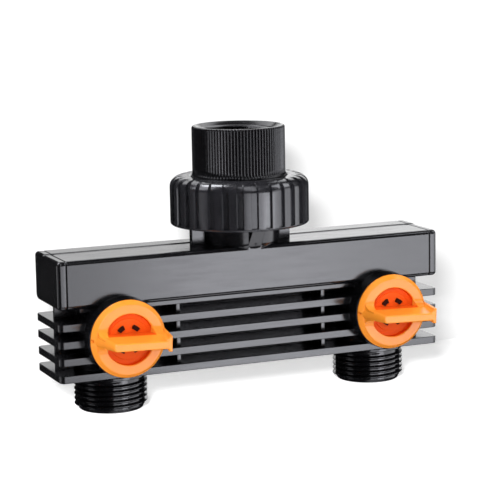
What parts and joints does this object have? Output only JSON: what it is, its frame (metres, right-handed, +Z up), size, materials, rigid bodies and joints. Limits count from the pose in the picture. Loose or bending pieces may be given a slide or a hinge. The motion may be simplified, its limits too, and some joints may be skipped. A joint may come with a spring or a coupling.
{
  "type": "hose splitter",
  "caption": "Finned bar manifold that splits one swivelling threaded hose inlet into two threaded outlets, each opened and shut by a quarter-turn knob.",
  "frame": {"origin": "centre of the inlet's sealing seat: the top of the washer, on the inlet's axis, where the tap's end seats", "axes": "+Z up out of the inlet's mouth, +X along the bar towards the right outlet, -Y towards the knobs' side"},
  "size_m": [0.1486, 0.0603, 0.0988],
  "materials": {
    "body_black": "smooth moulded black plastic with a soft sheen",
    "nut_black": "glossy moulded black plastic",
    "adaptor_black": "satin moulded black plastic",
    "thread_black": "glossy moulded black plastic",
    "knob_orange": "glossy moulded orange plastic",
    "plug": "dark matte plastic",
    "rubber": "matte black rubber",
    "washer": "dark red-brown rubber"
  },
  "bodies": {
    "manifold": {"manifold_body": "body_black", "end_cap_left": "body_black", "end_cap_right": "body_black", "end_seal_left": "rubber", "end_seal_right": "rubber", "union_gasket": "rubber", "outlet_spigot_left": "thread_black", "outlet_spigot_right": "thread_black", "outlet_seat_left": "rubber", "outlet_seat_right": "rubber", "valve_retainer_left": "plug", "valve_retainer_right": "plug"},
    "union_nut": {"union_nut": "nut_black"},
    "inlet": {"inlet_adaptor": "adaptor_black", "inlet_washer": "washer"},
    "valve_left": {"valve_plug_left": "plug", "plug_rings_left": "rubber", "knob_left": "knob_orange"},
    "valve_right": {"valve_plug_right": "plug", "plug_rings_right": "rubber", "knob_right": "knob_orange"}
  },
  "joints": [
    {"name": "inlet_swivel", "type": "hinge", "parent": "manifold", "child": "inlet", "pos_m": [0, 0, 0], "axis": [0, 0, 1], "continuous": true},
    {"name": "union_nut_turn", "type": "hinge", "parent": "manifold", "child": "union_nut", "pos_m": [0, 0, -0.014], "axis": [0, 0, 1], "range_deg": [0, 90]},
    {"name": "left_valve_turn", "type": "hinge", "parent": "manifold", "child": "valve_left", "pos_m": [-0.0515, 0, -0.0575], "axis": [0, 1, 0], "range_deg": [0, 90]},
    {"name": "right_valve_turn", "type": "hinge", "parent": "manifold", "child": "valve_right", "pos_m": [0.0515, 0, -0.0575], "axis": [0, 1, 0], "range_deg": [0, 90]}
  ]
}
